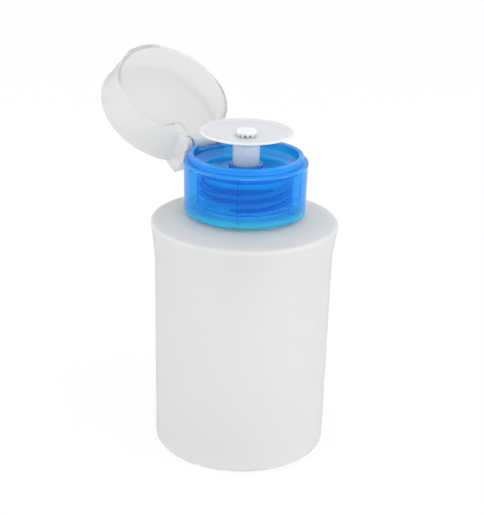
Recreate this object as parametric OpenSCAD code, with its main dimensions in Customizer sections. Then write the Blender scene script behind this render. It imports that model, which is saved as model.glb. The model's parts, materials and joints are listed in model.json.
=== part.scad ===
// Push-down pump bottle for lens solution, with a hinged dust lid.
// Millimetres, +Z up. Origin: centre of the standing ring, on the table.
// The lid is drawn open and the pump is drawn up.

/* [Bottle] */
// Outer diameter just above the base corner
base_d = 66.4; // [60:0.2:72]
// Outer diameter where the shoulder begins to flare
waist_d = 67.8; // [62:0.2:74]
// Outer diameter at the shoulder edge
shoulder_d = 71.2; // [68:0.2:78]
// Height of the shoulder edge above the table
shoulder_z = 91.4; // [80:0.2:110]
// Height of the flared band under the shoulder edge
flare_h = 18; // [8:0.5:30]
// Rise of the shoulder from its edge to the neck
shoulder_rise = 3.4; // [2:0.1:6]
// Wall thickness of the blown bottle
wall = 1.1; // [0.8:0.1:2]
// Radius of the corner between side and base
base_corner_r = 2.4; // [2:0.1:6]
// Radius of the shoulder edge
shoulder_edge_r = 1.5; // [1:0.1:3]
// Depth of the hollow under the base
base_hollow = 1.2; // [0.6:0.1:3]
// Width of the ring that the bottle stands on
stand_w = 4; // [2:0.2:8]

/* [Neck] */
// Bore of the neck
neck_bore_d = 27.2; // [25:0.1:29]
// Outer diameter of the neck under its thread
neck_root_d = 30.4; // [29.6:0.1:31]
// Outer diameter over the neck thread
thread_d = 33; // [32.4:0.1:33.6]
// Rise of the thread in one turn
thread_pitch = 3.5; // [3.2:0.1:4.4]
// Height of the thread's start above the neck's foot
thread_rise = 6.3; // [6:0.1:6.6]
// Direction of the thread's start, counted from +X towards +Y
thread_turn = 225; // [0:1:359]
// Turns of thread on the neck
thread_turns = 1.5; // [1:0.25:2]
// Height of the neck above the shoulder
neck_h = 13.2; // [13:0.1:14]

/* [Collar] */
// Outer diameter of the collar at its bottom edge
collar_bottom_d = 46; // [44:0.1:48]
// Outer diameter of the collar at its ledge
collar_top_d = 47; // [45:0.1:49]
// Height of the collar's outer skirt
collar_h = 19.6; // [18:0.1:24]
// Gap between the collar and the shoulder edge, upright
collar_gap = 3.9; // [3:0.1:6]
// Thickness of the collar's walls
collar_wall = 1.5; // [1.2:0.1:2]
// Outer diameter of the raised snap ring
ring_d = 43; // [41:0.1:44]
// Wall thickness of the raised snap ring
ring_wall = 1.8; // [1.2:0.1:2.4]
// Height of the snap ring above the ledge
ring_h = 2.3; // [1.5:0.1:4]
// Height of the retaining bead on the snap ring
bead_h = 0.25; // [0.1:0.05:0.4]
// Angle of the gap in the snap ring at the hinge
notch_angle = 46; // [40:1:60]
// Thickness of the collar's deck and ledge
deck_t = 1.3; // [1:0.1:2]
// Rise of the slope that joins the deck to the snap ring
well_rise = 2.2; // [1:0.1:2.4]
// Wall thickness of the threaded inner skirt
inner_skirt_wall = 1.4; // [1.2:0.1:2]
// Ribs between the two skirts
rib_count = 5; // [3:1:10]
// Thickness of a rib
rib_t = 1; // [0.6:0.1:1.6]
// Turn of the first rib away from the hinge
rib_turn = -12; // [-36:1:36]
// Height of the guide sleeve above the deck
guide_h = 1.8; // [1.5:0.1:5]
// Wall thickness of the guide sleeve
guide_wall = 1.2; // [0.8:0.1:2]

/* [Lid] */
// Outer diameter of the lid at its rim
lid_rim_d = 46.3; // [46:0.1:49]
// Outer diameter of the lid at its crown
lid_crown_d = 50.5; // [47:0.1:52]
// Height of the closed lid
lid_h = 15; // [14.6:0.1:20]
// Wall thickness of the lid
lid_wall = 1.1; // [1:0.1:1.2]
// Radius of the crown's outer edge
lid_edge_r = 2.9; // [2:0.1:4]
// Depth of the thumb pad on the front of the lid
thumb_depth = 0.7; // [0.4:0.1:1.2]
// Width of the thumb pad
thumb_w = 16; // [10:0.5:22]
// Width of the heel and its two cheeks on the back of the lid
heel_w = 20.4; // [18:0.2:21]
// Depth of the heel behind the hinge axis
heel_depth = 3.9; // [3.4:0.1:5]
// Width of the gusset pad inside the crown
gusset_w = 12; // [8:0.5:16]
// Thickness of the gusset pad
gusset_t = 1.1; // [0.6:0.1:1.4]

/* [Hinge] */
// Direction of the hinge, counted from +X towards +Y
hinge_az = 132; // [0:1:359]
// Distance of the hinge axis from the bottle's axis
hinge_r = 24.7; // [24.6:0.1:26]
// Height of the hinge axis above the ledge
hinge_rise = 1.6; // [1.6:0.1:2.4]
// Diameter of the lid's hinge pins
pin_d = 2; // [1.8:0.1:2.2]
// Diameter of the lid's knuckle
knuckle_d = 4; // [3.6:0.1:4.2]
// Width of the lid's knuckle
knuckle_w = 12; // [10:0.5:13]
// Thickness of each ear on the collar
ear_t = 1.2; // [1:0.1:1.6]
// Diameter of each ear
ear_d = 3.5; // [3.5:0.1:3.8]
// How far the ears' web runs down the collar
ear_drop = 7; // [5:0.5:12]
// Opening angle of the lid as drawn
open_angle = 143; // [0:1:143]

/* [Pump head] */
// Diameter of the dish
dish_d = 35; // [32:0.1:36]
// Height of the dish's rim above the guide sleeve
dish_rise = 12.7; // [12:0.1:13.5]
// Height of the dish above the guide sleeve when it is pressed
press_gap = 2.4; // [0.6:0.1:2.6]
// Depth of the bowl at its centre
bowl_depth = 2.1; // [1.2:0.1:2.4]
// Thickness of the dish at its rim
dish_edge = 0.9; // [0.7:0.1:1.4]
// Diameter of the stem
stem_d = 10.2; // [9.6:0.1:10.6]
// Stroke of the pump
stroke = 5.4; // [3:0.1:5.4]
// Diameter of the raised outlet cap in the dish
outlet_d = 7.6; // [7:0.1:8.2]
// Depth by which the outlet cap sits in the dish
outlet_grip = 2.6; // [2:0.1:3]
// Windows around the foot of the outlet cap
outlet_count = 12; // [4:1:12]
// Width of an outlet window
outlet_w = 0.8; // [0.5:0.1:1]
// Direction of the first outlet window
outlet_turn = 22; // [0:1:90]

/* [Pump] */
// Bore of the pump housing
pump_bore_d = 12.6; // [12:0.1:13.4]
// Wall thickness of the pump housing
pump_wall = 1; // [0.8:0.1:1.4]
// Length of the bore from the flange to the spring ledge
pump_depth = 40; // [40:0.5:50]
// Diameter of the housing's flange
flange_d = 31.4; // [30:0.1:32.4]
// Thickness of the housing's flange
flange_t = 1.2; // [1:0.1:1.8]
// Thickness of the gasket
gasket_t = 1; // [0.6:0.1:1.6]
// Length of the guide bush
bush_l = 10.5; // [8:0.5:12]
// Outer diameter of the piston rod
rod_d = 6.6; // [6:0.1:7]
// Bore of the piston rod
rod_bore_d = 3.2; // [2.6:0.1:3.4]
// Height of the piston rod's top above the collar's deck
rod_rise = 3.4; // [3:0.1:3.8]
// Length of the piston seal
piston_l = 6.6; // [5:0.1:8]
// Mean diameter of the spring
spring_d = 9.8; // [9:0.1:10.4]
// Wire diameter of the spring
wire_d = 0.9; // [0.6:0.05:1]
// Active turns of the spring
spring_turns = 7; // [5:0.5:8]
// Diameter of the inlet ball
inlet_ball_d = 4; // [3.6:0.1:4.2]
// Diameter of the outlet ball
outlet_ball_d = 3.6; // [3.4:0.1:3.8]
// Travel of each valve ball
ball_lift = 1; // [0.6:0.1:1.2]

/* [Dip tube] */
// Outer diameter of the dip tube
tube_d = 5.2; // [4.6:0.1:5.6]
// Wall thickness of the dip tube
tube_wall = 0.7; // [0.5:0.1:1]
// Gap between the tube's foot and the bottle's floor
tube_gap = 1.2; // [0.8:0.1:6]
// Length of the tube held in the housing
tube_grip = 8; // [5:0.5:12]

/* [Fits] */
// Radial clearance of a running fit
run_fit = 0.08; // [0.05:0.01:0.1]
// Radial clearance of a push fit
push_fit = 0.03; // [0.02:0.01:0.05]
// Clearance between threads, across and along
thread_gap = 0.35; // [0.3:0.05:0.4]
// Gap between faces that rest on each other
seat_gap = 0.05; // [0.02:0.01:0.1]
// Gap between faces that move past each other
move_gap = 0.3; // [0.25:0.05:0.4]

/* [Hidden] */
$fn = 96;
eps = 0.01;
bite = 0.4; // depth by which a joined shape sinks into its neighbour

// Heights, from the table up
neck_z = shoulder_z + shoulder_rise;
neck_top_z = neck_z + neck_h;
gasket_z = neck_top_z + seat_gap;
flange_z = gasket_z + gasket_t;
flange_top_z = flange_z + flange_t;
deck_z = flange_top_z + seat_gap;
deck_top_z = deck_z + deck_t;
guide_top_z = deck_top_z + guide_h;
collar_z = shoulder_z + collar_gap;
ledge_z = collar_z + collar_h;
ring_top_z = ledge_z + ring_h;
rim_z = ledge_z + seat_gap * 3;
crown_z = rim_z + lid_h;
axis_z = ledge_z + hinge_rise;
dish_rim_z = guide_top_z + dish_rise;
bowl_z = dish_rim_z - bowl_depth;
dish_root_z = guide_top_z + stroke + press_gap;

// Slopes of the bottle's side and top where they meet the shoulder's edge
flare_angle = 12;
shoulder_angle = 14;

// Radii
neck_bore_r = neck_bore_d / 2;
neck_root_r = neck_root_d / 2;
thread_r = thread_d / 2;
inner_skirt_r = thread_r + thread_gap;
inner_skirt_out_r = inner_skirt_r + inner_skirt_wall;
well_r = inner_skirt_r - 0.6; // foot of the slope, on the deck
collar_bottom_r = collar_bottom_d / 2;
collar_top_r = collar_top_d / 2;
ring_r = ring_d / 2;
ring_in_r = ring_r - ring_wall;
stem_r = stem_d / 2;
guide_bore_r = stem_r + run_fit;
guide_out_r = guide_bore_r + guide_wall;
lid_rim_r = lid_rim_d / 2;
lid_crown_r = lid_crown_d / 2;
pin_r = pin_d / 2;
knuckle_r = knuckle_d / 2;
ear_r = ear_d / 2;
ear_in = knuckle_w / 2 + seat_gap * 3;
cheek_in = ear_in + ear_t + move_gap;
cheek_lobe_r = 2.65; // reach of a cheek around the hinge axis
heel_z = axis_z + ear_r + 1.5; // lowest face of the heel beside the knuckle
stop_angle = 143; // opening angle at which the heel meets the collar
pump_r = pump_bore_d / 2;
pump_out_r = pump_r + pump_wall;
rod_r = rod_d / 2;
rod_bore_r = rod_bore_d / 2;
tube_r = tube_d / 2;
outlet_r = outlet_d / 2;
dish_r = dish_d / 2;
inlet_ball_r = inlet_ball_d / 2;
outlet_ball_r = outlet_ball_d / 2;

// Inner skirt and thread of the collar
ridge_root = 0.85; // half width of a thread ridge at its root
ridge_tip = 0.45; // half width of a thread ridge at its tip
neck_thread_z = neck_z + thread_rise;
thread_steps = 30; // facets in one turn
cap_thread_turns = 2.2;
cap_thread_start = 0.05; // turns after the neck thread's start
cap_thread_drop = ridge_root + ridge_tip + thread_gap / 2;
cap_thread_z = neck_thread_z - cap_thread_drop;
inner_skirt_chamfer = 0.4;
// foot of the inner skirt, a little under the start of its thread
inner_skirt_z = cap_thread_z + thread_pitch * cap_thread_start - ridge_root
    - inner_skirt_chamfer - 0.15;

// Pump, from the flange down
spring_z = flange_top_z - pump_depth;
lip_t = 0.7;
lip_r = inlet_ball_r - 0.2;
chamber_r = inlet_ball_r + 0.5;
seat_r = inlet_ball_r * 0.7;
seat_rise = 1.2;
seat_run = chamber_r - seat_r;
seat_slant = sqrt(seat_rise * seat_rise + seat_run * seat_run);
lip_z = spring_z - lip_t;
// centre of the inlet ball when it is lifted against the lip
inlet_high_z = lip_z - sqrt(inlet_ball_r * inlet_ball_r - lip_r * lip_r) - seat_gap;
inlet_z = inlet_high_z - ball_lift;
seat_z = inlet_z
    - ((inlet_ball_r + seat_gap) * seat_slant - seat_r * seat_rise) / seat_run;
socket_top_z = seat_z - 0.6;
socket_z = socket_top_z - tube_grip;
socket_wall = 1;
tube_top_z = socket_top_z - seat_gap;
floor_z = base_hollow + wall;
tube_z = floor_z + tube_gap;

// Moving set, from the guide bush down
bush_z = flange_top_z - bush_l;
piston_top_z = bush_z - move_gap;
piston_z = piston_top_z - piston_l;
flange_rod_z = piston_z - seat_gap;
rod_flange_t = 2;
rod_flange_r = pump_r - 0.6;
spring_top_z = flange_rod_z - rod_flange_t;
spring_h = spring_top_z - spring_z - 2 * seat_gap;
rod_nose_l = 4;
rod_top_z = deck_top_z + rod_rise;
stem_z = bush_z + 0.5;
outlet_chamber_r = outlet_ball_r + 0.3;
outlet_throat_r = outlet_ball_r - 0.5;
outlet_seat_gap = sqrt(outlet_ball_r * outlet_ball_r - rod_bore_r * rod_bore_r);
outlet_ball_z = rod_top_z + outlet_seat_gap + seat_gap;
outlet_lip_z = outlet_ball_z + ball_lift
    + sqrt(outlet_ball_r * outlet_ball_r - outlet_throat_r * outlet_throat_r) + seat_gap;
cap_socket_z = bowl_z - outlet_grip;
outlet_floor_z = cap_socket_z + seat_gap;

// Points of an arc about [cr, cz], from angle a to angle b
function arc(cr, cz, r, a, b, n = 8) =
    [for (i = [0:n]) [cr + r * cos(a + (b - a) * i / n), cz + r * sin(a + (b - a) * i / n)]];

// Half outline of the bottle, drawn in from the outer surface by w
function bottle_side(w) = concat(
    arc(base_d / 2 - base_corner_r, base_corner_r, base_corner_r - w, -90, 0),
    [for (i = [0:10]) let (u = i / 10)
        [waist_d / 2 - w + (shoulder_d - waist_d) / 2 * pow(u, 1.6),
            shoulder_z - flare_h + (flare_h - shoulder_edge_r) * u]],
    arc(shoulder_d / 2 - shoulder_edge_r, shoulder_z - shoulder_edge_r,
        shoulder_edge_r - w * 0.9, flare_angle, 90 - shoulder_angle, 6),
    [for (i = [1:6]) let (u = i / 7, out = shoulder_d / 2 - shoulder_edge_r)
        [out + (neck_root_r + 1.2 - out) * u,
            shoulder_z - w + shoulder_rise * (0.86 * u + 0.14 * sin(180 * u))]]);

// A thread ridge: a four-sided section swept up a helix. It fades at both ends.
module thread(root_r, tip_r, z0, start, turns) {
    n = round(thread_steps * turns);
    fade = 3;
    function ring(i) = let (
        a = 360 * (start + i / thread_steps),
        z = z0 + thread_pitch * (start + i / thread_steps),
        grow = min(1, (min(i, n - i) + 0.15) / fade),
        tip = root_r + (tip_r - root_r) * grow
    ) [for (p = [[root_r, -ridge_root], [tip, -ridge_tip], [tip, ridge_tip], [root_r, ridge_root]])
        [p[0] * cos(a), p[0] * sin(a), z + p[1]]];
    outward = tip_r > root_r;
    points = [for (i = [0:n]) each ring(i)];
    sides = [for (i = [0:n - 1], j = [0:3]) let (k = (j + 1) % 4)
        [4 * i + j, 4 * i + k, 4 * i + k + 4, 4 * i + j + 4]];
    ends = [[3, 2, 1, 0], [4 * n, 4 * n + 1, 4 * n + 2, 4 * n + 3]];
    faces = concat(ends, sides);
    polyhedron(points = points,
        faces = outward ? faces : [for (f = faces) [for (i = [len(f) - 1:-1:0]) f[i]]]);
}

// Turns a shape from the hinge's own frame to the bottle's: +X runs out over the hinge
module at_hinge() {
    rotate([0, 0, hinge_az]) children();
}

// A bar along the hinge axis, from side -w/2 to w/2
module hinge_bar(r, w) {
    translate([hinge_r, w / 2, axis_z]) rotate([90, 0, 0]) cylinder(r = r, h = w);
}

module bottle() {
    color([0.88, 0.89, 0.89, 0.6]) {
        difference() {
            rotate_extrude() polygon(concat(
                [[0, base_hollow], [base_d / 2 - base_corner_r - stand_w - 1.5, base_hollow],
                    [base_d / 2 - base_corner_r - stand_w, 0]],
                bottle_side(0),
                [[neck_root_r, neck_z + 1], [neck_root_r, neck_top_z], [0, neck_top_z]]));
            rotate_extrude() polygon(concat(
                [[0, floor_z], [base_d / 2 - base_corner_r - stand_w - 1.5, floor_z],
                    [base_d / 2 - base_corner_r - stand_w, wall]],
                bottle_side(wall),
                [[neck_bore_r, neck_z - wall], [neck_bore_r, neck_top_z + 1], [0, neck_top_z + 1]]));
        }
        rotate([0, 0, thread_turn])
            thread(neck_root_r - bite, thread_r, neck_thread_z, 0, thread_turns);
    }
}

module gasket() {
    color([0.93, 0.94, 0.95])
        translate([0, 0, gasket_z]) difference() {
            cylinder(d = flange_d, h = gasket_t);
            translate([0, 0, -1]) cylinder(r = pump_out_r + run_fit, h = gasket_t + 2);
        }
}

// Outer skirt, ledge, snap ring, deck, guide sleeve and inner skirt
module collar_shell() {
    fillet = 0.9;
    bulge = 0.25; // how far the ledge's rounded edge stands out over the wall
    skirt_in_r = collar_top_r - collar_wall;
    rotate_extrude() polygon(concat(
        [[collar_bottom_r - collar_wall, collar_z], [collar_bottom_r - 0.3, collar_z],
            [collar_bottom_r, collar_z + 0.3], [collar_top_r - bulge, ledge_z - 2.6 * fillet]],
        arc(collar_top_r - fillet, ledge_z - fillet, fillet, -20, 90, 6),
        [[ring_r, ledge_z], [ring_r, ledge_z + ring_h * 0.45],
            [ring_r + bead_h, ledge_z + ring_h * 0.65], [ring_r, ledge_z + ring_h * 0.85]],
        arc(ring_r - 0.3, ring_top_z - 0.3, 0.3, 0, 90, 3),
        arc(ring_in_r + 0.4, ring_top_z - 0.4, 0.4, 90, 180, 3),
        [[ring_in_r, deck_top_z + well_rise], [well_r, deck_top_z],
            [guide_out_r, deck_top_z], [guide_out_r, guide_top_z - 0.3],
            [guide_out_r - 0.3, guide_top_z], [guide_bore_r + 0.3, guide_top_z],
            [guide_bore_r, guide_top_z - 0.3], [guide_bore_r, deck_z],
            [inner_skirt_r, deck_z], [inner_skirt_r, inner_skirt_z + inner_skirt_chamfer],
            [inner_skirt_r + inner_skirt_chamfer, inner_skirt_z],
            [inner_skirt_out_r, inner_skirt_z],
            [inner_skirt_out_r, deck_z + 0.3],
            [ring_in_r + 0.7, deck_z + well_rise],
            [skirt_in_r, ledge_z - deck_t]]));
}

// Ribs that tie the inner skirt to the outer one
module collar_ribs() {
    rib_bottom = collar_z + 1;
    rib_in_r = inner_skirt_out_r - bite;
    rib_end_r = collar_top_r - collar_wall + bite;
    for (i = [0:rib_count - 1])
        rotate([0, 0, hinge_az + rib_turn + 360 * i / rib_count])
            translate([0, rib_t / 2, 0]) rotate([90, 0, 0]) linear_extrude(rib_t)
                polygon([[rib_in_r, rib_bottom], [rib_end_r, rib_bottom],
                    [rib_end_r, ledge_z - deck_t + bite], [ring_in_r + 0.7, deck_z + well_rise + bite],
                    [rib_in_r, deck_z + bite]]);
}

// One ear: a round boss on a web that runs down the collar's wall
module collar_ear(side) {
    y0 = side > 0 ? ear_in : -ear_in - ear_t;
    web_r = collar_top_r - 2.6;
    web_top_z = ledge_z - 0.3;
    translate([0, y0 + ear_t, 0]) rotate([90, 0, 0]) linear_extrude(ear_t) {
        translate([hinge_r, axis_z]) circle(r = ear_r);
        polygon([[web_r, web_top_z], [hinge_r - ear_r * 0.7, web_top_z], [hinge_r, axis_z],
            [hinge_r + ear_r * 0.85, axis_z - ear_r * 0.5], [web_r, axis_z - ear_drop]]);
    }
}

module collar() {
    color([0.08, 0.5, 0.93, 0.8]) {
        difference() {
            union() {
                collar_shell();
                collar_ribs();
                at_hinge() for (side = [-1, 1]) collar_ear(side);
            }
            at_hinge() {
                // the gap in the snap ring, between two planes through the axis
                translate([0, 0, ledge_z]) rotate([0, 0, -notch_angle / 2])
                    rotate_extrude(angle = notch_angle) translate([guide_out_r + 1, 0])
                        square([ring_r + 2 * bead_h - guide_out_r - 1, ring_h + 1]);
                // the saddle that the lid's knuckle turns in
                hinge_bar(knuckle_r + move_gap, knuckle_w + 2 * (ear_in - knuckle_w / 2));
                // the bores for the hinge pins
                hinge_bar(pin_r + run_fit, 2 * (ear_in + ear_t) + 1);
            }
        }
        rotate([0, 0, thread_turn])
            thread(inner_skirt_r + bite, neck_root_r + thread_gap, cap_thread_z,
                cap_thread_start, cap_thread_turns);
    }
}

// Block on the back of the lid. Its slanted face stops against the collar when the lid is
// open, and lies there parallel to the collar's wall.
module lid_heel(w, bottom_z) {
    back = hinge_r + heel_depth;
    stop = hinge_r - collar_top_r - move_gap;
    function stop_z(x) = axis_z
        + ((x - hinge_r) * -cos(stop_angle) - stop) / sin(stop_angle);
    front = lid_rim_r - 4;
    low = max(bottom_z, rim_z);
    low_back = min(back, hinge_r + (stop + (low - axis_z) * sin(stop_angle)) / -cos(stop_angle));
    translate([0, w / 2, 0]) rotate([90, 0, 0]) linear_extrude(w)
        polygon([[front, low], [low_back, low], [back, stop_z(back)], [back, crown_z - 2],
            [back - 0.5, crown_z - 1.1], [back - 1.4, crown_z - 0.6],
            [lid_crown_r - lid_edge_r, crown_z - 0.2], [front, crown_z - 0.6]]);
}

// One cheek of the heel: it covers the outer face of the collar's ear and holds the pin's end
module lid_cheek(side) {
    cheek_w = heel_w / 2 - cheek_in;
    translate([0, side * (cheek_in + cheek_w / 2), 0]) {
        lid_heel(cheek_w, rim_z);
        translate([hinge_r, cheek_w / 2, axis_z]) rotate([90, 0, 0]) cylinder(r = cheek_lobe_r, h = cheek_w);
    }
}

// The lid as it lies when closed, in the hinge's frame
module lid_closed() {
    in_rim_r = lid_rim_r - lid_wall;
    in_crown_r = lid_crown_r - lid_wall;
    in_edge_r = lid_edge_r - lid_wall * 0.7;
    in_crown_z = crown_z - lid_wall;
    difference() {
        union() {
            rotate_extrude() polygon(concat([[0, rim_z], [lid_rim_r, rim_z]],
                arc(lid_crown_r - lid_edge_r, crown_z - lid_edge_r, lid_edge_r, 0, 90, 8),
                [[0, crown_z]]));
            // thumb pad at the front
            intersection() {
                rotate_extrude() polygon([[0, rim_z], [lid_rim_r + thumb_depth, rim_z],
                    [lid_crown_r + thumb_depth - 0.4, crown_z - lid_edge_r],
                    [lid_crown_r - lid_edge_r, crown_z - 0.4], [0, crown_z - 0.4]]);
                translate([-lid_crown_r * 1.5, -thumb_w / 2, rim_z])
                    cube([lid_crown_r * 1.5, thumb_w, lid_h]);
            }
            // heel at the back, and the narrower knuckle web under it
            lid_heel(heel_w, heel_z);
            lid_heel(knuckle_w, rim_z);
            for (side = [-1, 1]) lid_cheek(side);
        }
        rotate_extrude() polygon(concat([[0, rim_z - 1], [in_rim_r, rim_z - 1], [in_rim_r, rim_z]],
            arc(in_crown_r - in_edge_r, in_crown_z - in_edge_r, in_edge_r, 0, 90, 6),
            [[0, in_crown_z]]));
    }
    // gusset pad that stiffens the crown in front of the hinge
    translate([in_rim_r * 0.3, -gusset_w / 2, in_crown_z - gusset_t])
        cube([in_rim_r * 0.7, gusset_w, gusset_t + bite]);
    // knuckle with its two pins
    hinge_bar(knuckle_r, knuckle_w);
    hinge_bar(pin_r, 2 * (cheek_in + bite));
}

module lid() {
    color([0.87, 0.88, 0.88, 0.6])
        at_hinge() translate([hinge_r, 0, axis_z]) rotate([0, open_angle, 0])
            translate([-hinge_r, 0, -axis_z]) lid_closed();
}

// Dish and stem, one moulding
module dish() {
    hub_r = outlet_r + 1.6;
    color([0.85, 0.88, 0.92, 0.7])
        rotate_extrude() polygon([
            [outlet_r + push_fit, bowl_z], [hub_r + 4, bowl_z + 0.1],
            [dish_r - 2.6, bowl_z + bowl_depth * 0.52], [dish_r - 0.9, dish_rim_z - 0.15],
            [dish_r - 0.5, dish_rim_z], [dish_r - 0.1, dish_rim_z - 0.2],
            [dish_r, dish_rim_z - 0.45], [dish_r - 0.15, dish_rim_z - dish_edge],
            [dish_r * 0.7, dish_root_z + (dish_rim_z - dish_edge - dish_root_z) * 0.58],
            [stem_r + 1.6, dish_root_z + 0.5], [stem_r + 0.4, dish_root_z + 0.1],
            [stem_r, dish_root_z - 0.3], [stem_r, stem_z + 0.4], [stem_r - 0.4, stem_z],
            [rod_r + push_fit, stem_z], [rod_r + push_fit, rod_top_z],
            [outlet_chamber_r, rod_top_z], [outlet_chamber_r, outlet_lip_z],
            [outlet_throat_r, outlet_lip_z], [outlet_throat_r, cap_socket_z],
            [outlet_r + push_fit, cap_socket_z]]);
}

// Cap that spreads the fluid: it sits in the hub and has windows around its foot
module outlet_cap() {
    cap_wall = 0.9;
    window_h = 0.8;
    cap_top_z = dish_rim_z + 0.1;
    color([0.9, 0.93, 0.96, 0.8]) difference() {
        rotate_extrude() polygon([
            [outlet_r - cap_wall, outlet_floor_z], [outlet_r, outlet_floor_z],
            [outlet_r, cap_top_z - 0.4], [outlet_r - 0.4, cap_top_z], [0, cap_top_z],
            [0, cap_top_z - cap_wall], [outlet_r - cap_wall, cap_top_z - cap_wall]]);
        for (i = [0:outlet_count - 1])
            rotate([0, 0, outlet_turn + 360 * i / outlet_count])
                translate([0, -outlet_w / 2, bowl_z + 0.05])
                    cube([outlet_r + 1, outlet_w, window_h]);
    }
}

// Bush that closes the housing and guides the stem
module guide_bush() {
    color([0.92, 0.93, 0.94])
        rotate_extrude() polygon([
            [guide_bore_r, bush_z], [pump_r - push_fit, bush_z],
            [pump_r - push_fit, flange_top_z], [guide_bore_r, flange_top_z]]);
}

// Cylinder, flange, spring ledge, ball chamber, valve seat and tube socket
module pump_housing() {
    color([0.9, 0.91, 0.92, 0.8]) difference() {
        rotate_extrude() polygon([
            [pump_r, flange_top_z], [flange_d / 2, flange_top_z], [flange_d / 2, flange_z],
            [pump_out_r, flange_z], [pump_out_r, spring_z - 0.5],
            [chamber_r + 1.2, seat_z], [tube_r + push_fit + socket_wall, seat_z - 1],
            [tube_r + push_fit + socket_wall, socket_z],
            [tube_r + push_fit, socket_z], [tube_r + push_fit, socket_top_z],
            [seat_r, socket_top_z], [seat_r, seat_z], [chamber_r, seat_z + seat_rise],
            [chamber_r, lip_z], [lip_r, lip_z], [lip_r, spring_z], [pump_r, spring_z]]);
        // slots that let the fluid past the lifted ball
        for (i = [0:2])
            rotate([0, 0, 120 * i]) translate([0, -0.6, lip_z - eps])
                cube([chamber_r, 1.2, lip_t + 2 * eps]);
    }
}

// Hollow rod that carries the seal and lifts the fluid
module piston_rod() {
    port_d = 1.6;
    color([0.86, 0.87, 0.88]) difference() {
        rotate_extrude() polygon([
            [0, spring_top_z - rod_nose_l], [rod_r - 1.2, spring_top_z - rod_nose_l],
            [rod_r - 0.6, spring_top_z - rod_nose_l + 0.8], [rod_r - 0.6, flange_rod_z - 1.4],
            [rod_r, flange_rod_z - 1.4], [rod_r, rod_top_z - seat_gap],
            [rod_bore_r, rod_top_z - seat_gap], [rod_bore_r, flange_rod_z - 1.4],
            [0, flange_rod_z - 1.4]]);
        for (i = [0:1])
            rotate([0, 0, 90 * i]) translate([-rod_r - 1, 0, flange_rod_z + 1.2 + port_d / 2])
                rotate([0, 90, 0]) cylinder(d = port_d, h = rod_d + 2, $fn = 32);
    }
}

// Clip that holds the seal on the rod and takes the spring
module piston_clip() {
    color([0.92, 0.92, 0.9])
        rotate_extrude() polygon([
            [rod_r - 0.6 + push_fit, spring_top_z], [rod_flange_r, spring_top_z],
            [rod_flange_r, flange_rod_z - 0.9], [rod_flange_r - 0.8, flange_rod_z - seat_gap],
            [rod_r + push_fit, flange_rod_z - seat_gap], [rod_r + push_fit, flange_rod_z - 1.4 - seat_gap],
            [rod_r - 0.6 + push_fit, flange_rod_z - 1.4 - seat_gap]]);
}

// Sliding seal with a lip at each end
module piston_seal() {
    seal_r = pump_r - run_fit;
    waist_r = seal_r - 0.7;
    color([0.95, 0.95, 0.93])
        rotate_extrude() polygon([
            [rod_r + push_fit, piston_z], [waist_r - 0.6, piston_z], [seal_r - 0.1, piston_z],
            [seal_r, piston_z + 0.3], [seal_r, piston_z + 0.9], [waist_r, piston_z + 1.6],
            [waist_r, piston_top_z - 1.6], [seal_r, piston_top_z - 0.9],
            [seal_r, piston_top_z - 0.3], [seal_r - 0.1, piston_top_z],
            [rod_r + push_fit, piston_top_z]]);
}

// Compression spring: a round wire swept up a helix, with a closed turn at each end
module spring() {
    sides = 8;
    steps = 20;
    closed = 1;
    turns = spring_turns + 2 * closed;
    n = turns * steps;
    wire_r = wire_d / 2;
    rise = (spring_h - wire_d * (1 + 2 * closed)) / spring_turns;
    function height(t) = wire_r + wire_d * min(t, closed)
        + rise * max(0, min(t - closed, spring_turns)) + wire_d * max(0, t - closed - spring_turns);
    points = [for (i = [0:n]) let (t = i / steps) each
        [for (j = [0:sides - 1]) let (r = spring_d / 2 + wire_r * cos(360 * j / sides))
            [r * cos(360 * t), r * sin(360 * t),
                spring_z + seat_gap + height(t) + wire_r * sin(360 * j / sides)]]];
    skin = [for (i = [0:n - 1], j = [0:sides - 1]) let (k = (j + 1) % sides)
        [sides * i + j, sides * i + sides + j, sides * i + sides + k, sides * i + k]];
    color([0.7, 0.71, 0.73])
        polyhedron(points = points, faces = concat(skin,
            [[for (j = [0:sides - 1]) j], [for (j = [sides - 1:-1:0]) sides * n + j]]));
}

module inlet_ball() {
    color([0.75, 0.76, 0.78]) translate([0, 0, inlet_z]) sphere(d = inlet_ball_d);
}

module outlet_ball() {
    color([0.75, 0.76, 0.78]) translate([0, 0, outlet_ball_z]) sphere(d = outlet_ball_d);
}

module dip_tube() {
    color([0.93, 0.94, 0.94, 0.7])
        translate([0, 0, tube_z]) difference() {
            cylinder(r = tube_r, h = tube_top_z - tube_z);
            translate([0, 0, -1]) cylinder(r = tube_r - tube_wall, h = tube_top_z - tube_z + 2);
        }
}

bottle();
gasket();
collar();
lid();
dish();
outlet_cap();
guide_bush();
pump_housing();
piston_rod();
piston_seal();
piston_clip();
spring();
inlet_ball();
outlet_ball();
dip_tube();
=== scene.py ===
"""Looks of a push-down pump bottle for lens solution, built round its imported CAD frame.

Sizes and places on the bottle are in millimetres, and MM turns them into Blender's metres.
The stage, with its floor, lamps and camera, is laid out in metres.
"""
import json
import math

import bmesh
import bpy
from mathutils import Matrix, Vector


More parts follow.
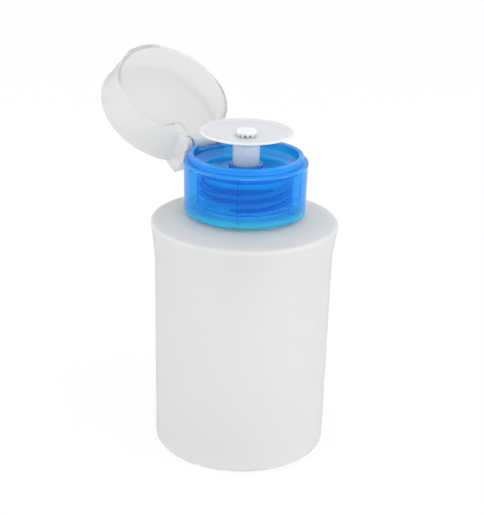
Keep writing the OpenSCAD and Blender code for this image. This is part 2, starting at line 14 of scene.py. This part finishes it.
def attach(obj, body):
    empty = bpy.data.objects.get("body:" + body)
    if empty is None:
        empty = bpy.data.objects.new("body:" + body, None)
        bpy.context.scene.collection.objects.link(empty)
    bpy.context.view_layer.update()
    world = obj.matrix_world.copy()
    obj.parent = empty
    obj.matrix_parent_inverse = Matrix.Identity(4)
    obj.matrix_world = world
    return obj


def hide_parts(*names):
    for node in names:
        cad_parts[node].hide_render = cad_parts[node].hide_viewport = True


MM = 0.001
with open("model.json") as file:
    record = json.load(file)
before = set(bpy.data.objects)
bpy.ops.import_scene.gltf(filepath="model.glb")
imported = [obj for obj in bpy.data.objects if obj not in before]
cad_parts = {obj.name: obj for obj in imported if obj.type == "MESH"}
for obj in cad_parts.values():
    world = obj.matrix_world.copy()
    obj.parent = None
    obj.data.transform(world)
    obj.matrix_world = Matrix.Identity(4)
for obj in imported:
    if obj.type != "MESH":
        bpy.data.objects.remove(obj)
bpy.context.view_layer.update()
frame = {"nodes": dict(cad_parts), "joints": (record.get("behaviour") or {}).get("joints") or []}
nodes = frame["nodes"]
lid_hinge = next(joint for joint in frame["joints"] if joint["name"] == "lid_hinge")


# ---------------------------------------------------------------- shapes

LATHE_STEPS = 160      # facets round a turned shape
HELIX_STEPS = 72       # facets in one turn of a thread
FADE_STEPS = 8         # facets over which a thread's ridge grows at each end
FADE_START = 0.2       # what it has grown by at its very end, in facets
FLANK_HEIGHT = 0.72    # share of the ridge's height at which its flanks bend
FLANK_SPREAD, TIP_SPREAD = 1.25, 0.55  # shares of the tip's half width, there and on top
SMOOTH_ANGLE = 35      # degrees; edges sharper than this stay sharp
ON_AXIS = 1e-6         # a radius below this is a point on the axis


def turned(radius, angle, height):
    """A point at an angle in radians about the bottle's axis."""
    return radius * MM * math.cos(angle), radius * MM * math.sin(angle), height * MM


def arc(centre_r, centre_z, radius, start, end, steps):
    """Outline points of an arc from the start angle to the end angle, in degrees."""
    points = []
    for step in range(steps + 1):
        angle = math.radians(start + (end - start) * step / steps)
        points.append((centre_r + radius * math.cos(angle), centre_z + radius * math.sin(angle)))
    return points


def outward_mesh(shape, name):
    """The mesh of a finished bmesh, with its faces turned outward."""
    bmesh.ops.recalc_face_normals(shape, faces=shape.faces)
    mesh = bpy.data.meshes.new(name)
    shape.to_mesh(mesh)
    shape.free()
    return mesh


def lathe_mesh(name, outline):
    """A closed outline of (radius, height) points, turned about the axis."""
    shape = bmesh.new()
    rings = []
    for radius, height in outline:
        if radius < ON_AXIS:
            rings.append([shape.verts.new((0, 0, height * MM))])
            continue
        rings.append([shape.verts.new(turned(radius, 2 * math.pi * step / LATHE_STEPS, height))
                      for step in range(LATHE_STEPS)])
    for first, second in zip(rings, rings[1:] + rings[:1]):
        if len(first) == 1 and len(second) == 1:
            continue
        for here in range(LATHE_STEPS):
            there = (here + 1) % LATHE_STEPS
            if len(first) == 1:
                shape.faces.new((first[0], second[there], second[here]))
            elif len(second) == 1:
                shape.faces.new((first[here], first[there], second[0]))
            else:
                shape.faces.new((first[here], first[there], second[there], second[here]))
    return outward_mesh(shape, name)


def helix_mesh(name, root_r, tip_r, start_z, start_angle, turns, pitch, root_half, tip_half):
    """A thread ridge with rounded flanks that fades at both ends."""
    shape = bmesh.new()
    steps = round(HELIX_STEPS * turns)
    rings = []
    for step in range(steps + 1):
        turn = step / HELIX_STEPS
        grown = min(1, (min(step, steps - step) + FADE_START) / FADE_STEPS)
        tip = root_r + (tip_r - root_r) * grown
        flank = root_r + (tip - root_r) * FLANK_HEIGHT
        upper = [(tip, tip_half * TIP_SPREAD), (flank, tip_half * FLANK_SPREAD),
                 (root_r, root_half)]
        section = [(radius, -offset) for radius, offset in reversed(upper)] + upper
        angle = math.radians(start_angle) + 2 * math.pi * turn
        rings.append([shape.verts.new(turned(radius, angle, start_z + pitch * turn + offset))
                      for radius, offset in section])
    for first, second in zip(rings, rings[1:]):
        for here in range(len(first)):
            there = (here + 1) % len(first)
            shape.faces.new((first[here], first[there], second[there], second[here]))
    shape.faces.new(rings[0])
    shape.faces.new(rings[-1][::-1])
    return outward_mesh(shape, name)


def add_piece(name, mesh, body, material):
    """Put a mesh into the scene as a smooth piece that rides on a body."""
    mesh.materials.append(material)
    for polygon in mesh.polygons:
        polygon.use_smooth = True
    mesh.set_sharp_from_angle(angle=math.radians(SMOOTH_ANGLE))
    piece = bpy.data.objects.new(name, mesh)
    bpy.context.scene.collection.objects.link(piece)
    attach(piece, body)
    return piece


# ---------------------------------------------------- building with nodes

def compute(tree, operation, first, second=0.0):
    """One math node, fed by sockets or by plain numbers."""
    node = tree.nodes.new("ShaderNodeMath")
    node.operation = operation
    for socket, value in zip(node.inputs, (first, second)):
        if isinstance(value, float):
            socket.default_value = value
        else:
            tree.links.new(value, socket)
    return node.outputs[0]


def vector_math(tree, operation, first, second=None):
    """One vector node, fed by a socket and, where it takes two, by a plain vector."""
    node = tree.nodes.new("ShaderNodeVectorMath")
    node.operation = operation
    tree.links.new(first, node.inputs[0])
    if second is not None:
        node.inputs[1].default_value = second
    return node.outputs["Vector" if operation == "SUBTRACT" else "Value"]


def blend(tree, factor, first, second):
    """Colour between the first and the second, which are sockets or plain colours."""
    node = tree.nodes.new("ShaderNodeMix")
    node.data_type = "RGBA"
    tree.links.new(factor, node.inputs["Factor"])
    for socket, value in ((node.inputs["A"], first), (node.inputs["B"], second)):
        if isinstance(value, tuple):
            socket.default_value = (*value, 1)
        else:
            tree.links.new(value, socket)
    return node.outputs["Result"]


def ramp(tree, value, start, end, low=0.0, high=1.0):
    """Low up to the start, high from the end, and a straight line between them."""
    node = tree.nodes.new("ShaderNodeMapRange")
    node.inputs["From Min"].default_value = start
    node.inputs["From Max"].default_value = end
    node.inputs["To Min"].default_value = low
    node.inputs["To Max"].default_value = high
    tree.links.new(value, node.inputs["Value"])
    return node.outputs["Result"]


def surface_place(tree, kind="Object"):
    """A texture coordinate: "Object" is the point's place in the shared frame at rest."""
    return tree.nodes.new("ShaderNodeTexCoord").outputs[kind]


def split(tree, vector):
    """The X, Y and Z of a vector."""
    node = tree.nodes.new("ShaderNodeSeparateXYZ")
    tree.links.new(vector, node.inputs[0])
    return node.outputs["X"], node.outputs["Y"], node.outputs["Z"]


def measure(tree):
    """Radius about the bottle's axis and height above the table, with the part at rest."""
    x, y, height = split(tree, surface_place(tree))
    square = compute(tree, "ADD", compute(tree, "MULTIPLY", x, x),
                     compute(tree, "MULTIPLY", y, y))
    return compute(tree, "SQRT", square), height


def tint(material, factor, colour):
    """Lay another base colour over the material where the factor is 1."""
    tree = material.node_tree
    base = tree.nodes["Principled BSDF"].inputs["Base Color"]
    tree.links.new(blend(tree, factor, base.links[0].from_socket, colour), base)


# --------------------------------------------------------------- plastics

ROUGH_VARY = 0.15      # share by which the roughness differs from place to place
GLOSS_FINER = 4        # how many times finer the gloss varies than the colour
GRAIN_DEPTH = 0.1      # millimetres, at full bump strength


def plastic(name, colour, rough, transmission=0.0, subsurface=0.0, scatter=0.002, ior=1.5,
            cloud=0.02, cloud_scale=45, grain=0.1, grain_scale=1500):
    """Moulded plastic: cloudy colour, uneven gloss and a fine surface grain."""
    material = bpy.data.materials.new(name)
    material.use_nodes = True
    tree = material.node_tree
    shader = tree.nodes["Principled BSDF"]
    shader.inputs["IOR"].default_value = ior
    shader.inputs["Transmission Weight"].default_value = transmission
    shader.inputs["Subsurface Weight"].default_value = subsurface
    shader.inputs["Subsurface Radius"].default_value = (1.0, 1.0, 1.0)
    shader.inputs["Subsurface Scale"].default_value = scatter
    place = surface_place(tree)

    def noise(scale, detail):
        node = tree.nodes.new("ShaderNodeTexNoise")
        node.inputs["Scale"].default_value = scale
        node.inputs["Detail"].default_value = detail
        tree.links.new(place, node.inputs["Vector"])
        return node.outputs["Fac"]

    darker = tuple(channel * (1 - cloud) for channel in colour)
    lighter = tuple(min(1, channel * (1 + cloud)) for channel in colour)
    tree.links.new(blend(tree, noise(cloud_scale, detail=3), darker, lighter),
                   shader.inputs["Base Color"])
    gloss = ramp(tree, noise(cloud_scale * GLOSS_FINER, detail=4), 0.0, 1.0,
                 low=rough * (1 - ROUGH_VARY), high=rough * (1 + ROUGH_VARY))
    tree.links.new(gloss, shader.inputs["Roughness"])
    relief = tree.nodes.new("ShaderNodeBump")
    relief.inputs["Strength"].default_value = grain
    relief.inputs["Distance"].default_value = GRAIN_DEPTH * MM
    tree.links.new(noise(grain_scale, detail=2), relief.inputs["Height"])
    tree.links.new(relief.outputs["Normal"], shader.inputs["Normal"])
    return material


GLOW_FULL_R, GLOW_END_R = 24.0, 33.0   # the painted blue light fades out between these radii
GLOW_Z = 90.0                          # and lies above this height
GLOW_COLOUR = (0.88, 1.0, 1.0)


def make_bottle_wall():
    """Frosted wall, with the blue light that the collar throws round it painted on as a tint."""
    material = plastic("bottle_wall", (0.955, 0.955, 0.95), 0.5, transmission=0.45,
                       subsurface=0.8, scatter=0.003, grain=0.25, grain_scale=2500, cloud=0.012)
    tree = material.node_tree
    radius, height = measure(tree)
    # Painted light: the collar's blue light on the shoulder, laid into the base colour.
    glow = compute(tree, "MULTIPLY", ramp(tree, radius, GLOW_END_R * MM, GLOW_FULL_R * MM),
                   compute(tree, "GREATER_THAN", height, GLOW_Z * MM))
    tint(material, glow, GLOW_COLOUR)
    return material


HEEL_REACH = 10.0      # the heel's look holds this far from the middle of the hinge
HEEL_FADE = 4.0        # and gives way to the thin wall's over this length
HEEL_CLOUD = 0.45      # transmission that the heel loses
HEEL_COLOUR = (0.76, 0.77, 0.77)
CROWN_RISE = 12.3      # the crown's painted shade holds above this height over the hinge, lid shut
CROWN_FADE = 2.5       # and starts this much lower
CROWN_PAINTED_SHADE = (0.755, 0.76, 0.755)


def make_lid_plastic():
    """Hazy see-through plastic, with painted shade on its crown and a cloudier solid heel."""
    material = plastic("lid_plastic", (0.86, 0.865, 0.86), 0.3, transmission=0.75, ior=1.12,
                       subsurface=1.0, scatter=0.003, cloud=0.012)
    tree = material.node_tree
    from_hinge = vector_math(tree, "SUBTRACT", surface_place(tree), lid_hinge["pos_m"])
    reach = vector_math(tree, "LENGTH", from_hinge)
    heel = ramp(tree, reach, (HEEL_REACH + HEEL_FADE) * MM, HEEL_REACH * MM)
    weight = tree.nodes["Principled BSDF"].inputs["Transmission Weight"]
    tree.links.new(compute(tree, "SUBTRACT", weight.default_value,
                           compute(tree, "MULTIPLY", heel, HEEL_CLOUD)), weight)
    tint(material, heel, HEEL_COLOUR)
    # The part rests with its lid open, so "up" of the shut lid is swung open with it.
    open_angle = math.radians(-min(lid_hinge["range_deg"]))
    swing = Matrix.Rotation(open_angle, 3, Vector(lid_hinge["axis"]))
    rise = vector_math(tree, "DOT_PRODUCT", from_hinge, swing @ Vector((0, 0, 1)))
    # Painted shade: the crown is darker, for it lets more light through its single wall than the
    # sides, which are seen through more walls.
    tint(material, ramp(tree, rise, (CROWN_RISE - CROWN_FADE) * MM, CROWN_RISE * MM),
         CROWN_PAINTED_SHADE)
    return material


DYE_COLOUR, DYE_DENSITY = (0.0, 0.90, 1.0), 1000
SKIN_R = 22.4          # the cloudy skin lies beyond this radius
SKIN_SHARE = 0.36      # how cloudy it is
SKIN_COLOUR = (0.002, 0.20, 1.0)
LIP_Z, LIP_FADE = 98.4, 1.5            # the skirt's foot is painted lighter below this height, for the light through its single wall
LIP_PAINTED_LIGHT = (0.05, 0.62, 1.0)
CREST_Z = 113.8        # the ring's crest is cloudy, and painted lighter, above this height
DECK_R, DECK_Z = 20.5, 111.3           # and the deck inside this radius and above this height
CREST_SHARE = 0.6      # how cloudy crest and deck are
CREST_PAINTED_LIGHT = (0.03, 0.36, 0.96)
RIDGE_R, RIDGE_TOP = 16.7, 108.2       # the inner thread is painted darker, as shade, inside and below these
RIDGE_PAINTED_SHADE = (0.01, 0.03, 0.55)


def make_collar_plastic():
    """Clear plastic with a dye in its thickness, and a thin cloudy skin on its outer faces, with
    painted light on its crest, deck and foot and painted shade on its inner thread.
    """
    material = plastic("collar_plastic", (0.97, 0.99, 1.0), 0.04, transmission=1.0, ior=1.12,
                       grain=0.02)
    tree = material.node_tree
    link = tree.links.new
    clear, out = tree.nodes["Principled BSDF"], tree.nodes["Material Output"]
    dye = tree.nodes.new("ShaderNodeVolumeAbsorption")
    dye.inputs["Color"].default_value = (*DYE_COLOUR, 1)
    dye.inputs["Density"].default_value = DYE_DENSITY
    link(dye.outputs[0], out.inputs["Volume"])
    radius, height = measure(tree)

    def inside(limit):
        return compute(tree, "LESS_THAN", radius, limit * MM)

    def above(limit):
        return compute(tree, "GREATER_THAN", height, limit * MM)

    # Painted shade: the inner thread, deep in the collar against the neck, is darker.
    below_top = compute(tree, "LESS_THAN", height, RIDGE_TOP * MM)
    tint(material, compute(tree, "MULTIPLY", inside(RIDGE_R), below_top), RIDGE_PAINTED_SHADE)
    deck = compute(tree, "MULTIPLY", inside(DECK_R), above(DECK_Z))
    crest = compute(tree, "MAXIMUM", deck, above(CREST_Z))
    # Painted light: the skirt's foot is a lighter blue, for the light that reaches it from the
    # gap beneath, through its single wall.
    side = blend(tree, ramp(tree, height, LIP_Z * MM, (LIP_Z - LIP_FADE) * MM), SKIN_COLOUR,
                 LIP_PAINTED_LIGHT)
    cloudy = tree.nodes.new("ShaderNodeBsdfPrincipled")
    # Painted light: crest and deck are cloudy, and a lighter blue for the light that falls on
    # their upward faces.
    link(blend(tree, crest, side, CREST_PAINTED_LIGHT), cloudy.inputs["Base Color"])
    link(clear.inputs["Roughness"].links[0].from_socket, cloudy.inputs["Roughness"])
    beyond = compute(tree, "GREATER_THAN", radius, SKIN_R * MM)
    mix = tree.nodes.new("ShaderNodeMixShader")
    link(compute(tree, "MAXIMUM", compute(tree, "MULTIPLY", beyond, SKIN_SHARE),
                 compute(tree, "MULTIPLY", crest, CREST_SHARE)), mix.inputs["Fac"])
    link(clear.outputs[0], mix.inputs[1])
    link(cloudy.outputs[0], mix.inputs[2])
    link(mix.outputs[0], out.inputs["Surface"])
    return material


UNDERSIDE_TILT = -0.1  # a face belongs to the underside where its normal's Z is below this
UNDERSIDE_PAINTED_BLUE_LIGHT = (0.74, 0.92, 1.0)
STEM_TOP = 121.0       # the stem's painted blue light lies below this height
STEM_PAINTED_BLUE_LIGHT = (0.93, 1.0, 1.0)


def make_dish_plastic():
    """Milky plastic, with the collar's blue light painted onto its underside and stem."""
    material = plastic("dish_plastic", (0.80, 0.785, 0.785), 0.25, transmission=0.2,
                       subsurface=1.0, scatter=0.003, grain=0.05)
    tree = material.node_tree
    # Painted light: faces turned down, and the stem, are bluer for the blue light that the
    # collar throws up on them.
    normal_z = split(tree, surface_place(tree, "Normal"))[2]
    tint(material, compute(tree, "LESS_THAN", normal_z, UNDERSIDE_TILT), UNDERSIDE_PAINTED_BLUE_LIGHT)
    height = measure(tree)[1]
    tint(material, compute(tree, "LESS_THAN", height, STEM_TOP * MM), STEM_PAINTED_BLUE_LIGHT)
    return material


PUMP_SHADE_TOP = 94.0  # the pump is painted darker below this height, as shade
PUMP_SHADE_COLOUR = (0.25, 0.26, 0.27)


def make_pump_plastic():
    """White plastic, with painted shade below the neck, where the pump shows through the wall as
    a shadow.
    """
    material = plastic("pump_plastic", (0.90, 0.91, 0.92), 0.4)
    tree = material.node_tree
    height = measure(tree)[1]
    # Painted shade: the white pump is grey below the neck.
    tint(material, compute(tree, "LESS_THAN", height, PUMP_SHADE_TOP * MM), PUMP_SHADE_COLOUR)
    return material


def make_steel():
    """Bright steel wire and balls."""
    material = plastic("steel", (0.6, 0.6, 0.6), 0.25, cloud=0.06, cloud_scale=400,
                       grain_scale=2500)
    material.node_tree.nodes["Principled BSDF"].inputs["Metallic"].default_value = 1.0
    return material


bottle_wall = make_bottle_wall()
pump_plastic = make_pump_plastic()
steel = make_steel()
looks = {
    "gasket": plastic("gasket_foam", (0.90, 0.91, 0.92), 0.8, grain=0.5, grain_scale=900),
    "collar": make_collar_plastic(),
    "lid": make_lid_plastic(),
    "dish": make_dish_plastic(),
    "outlet_cap": plastic("cap_plastic", (0.80, 0.91, 1.0), 0.2, subsurface=1.0, grain=0.05),
    "guide_bush": pump_plastic,
    "pump_housing": pump_plastic,
    "piston_rod": pump_plastic,
    "piston_seal": plastic("seal_plastic", (0.85, 0.85, 0.83), 0.5),
    "piston_clip": pump_plastic,
    "spring": steel,
    "inlet_ball": steel,
    "outlet_ball": steel,
    "dip_tube": plastic("tube_plastic", (0.88, 0.89, 0.90), 0.35, transmission=0.3),
}
for node, material in looks.items():
    nodes[node].data.materials.clear()
    nodes[node].data.materials.append(material)


# ---------------------------------------------------------------- bottle

BASE_R, WAIST_R, SHOULDER_R, SHOULDER_Z = 33.2, 33.9, 35.6, 91.4
WALL = 1.1
CORNER_R = 2.4                         # rounding above the standing ring
STAND_W, HOLLOW, HOLLOW_SLOPE = 4.0, 1.2, 1.5  # standing ring, and the panel raised inside it
FLARE_H, FLARE_POWER, FLARE_STEPS = 18.0, 1.6, 24      # the side widens over this height
EDGE_R, EDGE_START, EDGE_END = 1.5, 12, 76     # rounding of the shoulder, from and to degrees
EDGE_INSET = 0.9                       # share of the inset that its rounding takes
RISE, SWELL, SHOULDER_STEPS = 3.4, 0.14, 13    # the shoulder climbs to the neck, bulging a bit
NECK_Z, NECK_H = SHOULDER_Z + RISE, 13.2
NECK_TOP, NECK_R, BORE_R = NECK_Z + NECK_H, 15.2, 13.6
NECK_FOOT_W, NECK_FOOT_H = 1.2, 1.0    # slope between the shoulder and the neck
THREAD_R, THREAD_SINK, THREAD_RISE = 16.5, 0.3, 6.3    # it starts this high up the neck
THREAD_START, THREAD_TURNS, THREAD_PITCH = 225, 1.5, 3.5
THREAD_ROOT_HALF, THREAD_TIP_HALF = 0.85, 0.45


def bottle_side(inset):
    """The bottle's half outline from the standing ring to the neck, drawn in by the inset."""
    points = arc(BASE_R - CORNER_R, CORNER_R, CORNER_R - inset, -90, 0, steps=12)
    for step in range(FLARE_STEPS + 1):
        share = step / FLARE_STEPS
        points.append((WAIST_R - inset + (SHOULDER_R - WAIST_R) * share ** FLARE_POWER,
                       SHOULDER_Z - FLARE_H + (FLARE_H - EDGE_R) * share))
    edge = SHOULDER_R - EDGE_R
    points += arc(edge, SHOULDER_Z - EDGE_R, EDGE_R - inset * EDGE_INSET, EDGE_START, EDGE_END,
                  steps=8)
    for step in range(1, SHOULDER_STEPS):
        share = step / SHOULDER_STEPS
        climb = (1 - SWELL) * share + SWELL * math.sin(math.pi * share)
        points.append((edge + (NECK_R + NECK_FOOT_W - edge) * share,
                       SHOULDER_Z - inset + RISE * climb))
    return points


ring_r = BASE_R - CORNER_R - STAND_W
panel_r = ring_r - HOLLOW_SLOPE
outside = ([(0, HOLLOW), (panel_r, HOLLOW), (ring_r, 0)] + bottle_side(0)
           + [(NECK_R, NECK_Z + NECK_FOOT_H), (NECK_R, NECK_TOP)])
inside = ([(0, HOLLOW + WALL), (panel_r, HOLLOW + WALL), (ring_r, WALL)]
          + bottle_side(WALL) + [(BORE_R, NECK_Z - WALL), (BORE_R, NECK_TOP)])
body = add_piece("bottle_body", lathe_mesh("bottle_body", outside + inside[::-1]),
                 "bottle", bottle_wall)
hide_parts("bottle")
thread = helix_mesh("neck_thread", NECK_R - THREAD_SINK, THREAD_R, NECK_Z + THREAD_RISE,
                    THREAD_START, THREAD_TURNS, THREAD_PITCH, THREAD_ROOT_HALF,
                    THREAD_TIP_HALF)
add_piece("neck_thread", thread, "bottle", bottle_wall)


# ----------------------------------------------------------------- stage

FLOOR_HALF = 3.0
FLOOR_COLOUR = (0.9, 0.9, 0.9)
FLOOR_WHITE = 0.85     # how plainly white the floor looks; the rest shows soft shadows
ROOM_DIM = 0.15        # level of the room behind the camera
DIM_END, BRIGHT_START = -0.35, 0.2     # Y of the directions between which it brightens


def floor_material():
    """Diffuse white that shows nearly plain white to the camera, and keeps soft shadows."""
    material = bpy.data.materials.new("floor")
    material.use_nodes = True
    tree = material.node_tree
    tree.nodes.clear()
    diffuse = tree.nodes.new("ShaderNodeBsdfDiffuse")
    diffuse.inputs["Color"].default_value = (*FLOOR_COLOUR, 1)
    glow = tree.nodes.new("ShaderNodeEmission")
    glow.inputs["Strength"].default_value = 1.0
    path = tree.nodes.new("ShaderNodeLightPath")
    seen = compute(tree, "MAXIMUM", path.outputs["Is Camera Ray"], path.outputs["Is Glossy Ray"])
    seen = compute(tree, "MAXIMUM", seen, path.outputs["Is Transmission Ray"])
    mix = tree.nodes.new("ShaderNodeMixShader")
    tree.links.new(compute(tree, "MULTIPLY", seen, FLOOR_WHITE), mix.inputs["Fac"])
    tree.links.new(diffuse.outputs[0], mix.inputs[1])
    tree.links.new(glow.outputs[0], mix.inputs[2])
    out = tree.nodes.new("ShaderNodeOutputMaterial")
    tree.links.new(mix.outputs[0], out.inputs["Surface"])
    return material


def make_floor():
    """A wide square at the table's height."""
    mesh = bpy.data.meshes.new("floor")
    corners = [(-FLOOR_HALF, -FLOOR_HALF, 0), (FLOOR_HALF, -FLOOR_HALF, 0),
               (FLOOR_HALF, FLOOR_HALF, 0), (-FLOOR_HALF, FLOOR_HALF, 0)]
    mesh.from_pydata(corners, [], [(0, 1, 2, 3)])
    mesh.materials.append(floor_material())
    floor = bpy.data.objects.new("floor", mesh)
    bpy.context.scene.collection.objects.link(floor)


def make_world():
    """A white room all round, but dim behind the camera, where gloss finds its reflections."""
    world = bpy.data.worlds.new("studio")
    bpy.context.scene.world = world
    world.use_nodes = True
    tree = world.node_tree
    background = tree.nodes["Background"]
    background.inputs["Color"].default_value = (1, 1, 1, 1)
    forward = split(tree, surface_place(tree, "Generated"))[1]
    room = ramp(tree, forward, DIM_END, BRIGHT_START, low=ROOM_DIM)
    path = tree.nodes.new("ShaderNodeLightPath")
    mirrored = compute(tree, "GREATER_THAN", path.outputs["Is Glossy Ray"],
                       path.outputs["Is Transmission Ray"])
    # Only mirrored rays see the dim side; all others meet plain white.
    level = tree.nodes.new("ShaderNodeMix")
    level.inputs["A"].default_value = 1.0
    tree.links.new(room, level.inputs["B"])
    tree.links.new(mirrored, level.inputs["Factor"])
    tree.links.new(level.outputs["Result"], background.inputs["Strength"])


def lamp(name, place, target, size, power):
    """A square area lamp that looks at its target, with its power in watts."""
    light = bpy.data.lights.new(name, "AREA")
    light.shape = "SQUARE"
    light.size = size
    light.energy = power
    holder = bpy.data.objects.new(name, light)
    bpy.context.scene.collection.objects.link(holder)
    holder.location = place
    holder.rotation_euler = (Vector(target) - Vector(place)).to_track_quat("-Z", "Y").to_euler()


# The camera's place, aim and lens, in metres and millimetres, were fitted to the photograph.
CAMERA_PLACE = (0, -0.480744, 0.259405)
CAMERA_RIGHT = (0.99965, 0.01049, 0.02439)
CAMERA_UP = (-0.02653, 0.35717, 0.93366)
LENS, SENSOR_W = 93.70, 36.0
CLIP_NEAR, CLIP_FAR = 0.01, 20


def make_camera():
    """The camera that looks as the photograph's did."""
    camera = bpy.data.objects.new("camera", bpy.data.cameras.new("camera"))
    bpy.context.scene.collection.objects.link(camera)
    camera.data.sensor_width = SENSOR_W
    camera.data.lens = LENS
    camera.data.clip_start = CLIP_NEAR
    camera.data.clip_end = CLIP_FAR
    right = Vector(CAMERA_RIGHT)
    back = right.cross(Vector(CAMERA_UP)).normalized()
    up = back.cross(right).normalized()
    turn = Matrix((right.normalized(), up, back)).transposed()
    camera.matrix_world = Matrix.Translation(CAMERA_PLACE) @ turn.to_4x4()
    bpy.context.scene.camera = camera


make_floor()
make_world()
lamp("key", (0.45, -0.45, 0.9), (0, 0, 0.08), size=0.6, power=1.3)
lamp("fill", (0.1, -0.95, 0.06), (0, 0, 0.06), size=0.5, power=2.8)
lamp("left_panel", (-0.75, -0.12, 0.2), (0, 0, 0.06), size=0.55, power=1.4)
lamp("right_panel", (0.75, -0.2, 0.2), (0, 0, 0.06), size=0.35, power=1.1)
make_camera()
bpy.context.scene.view_settings.view_transform = "Standard"
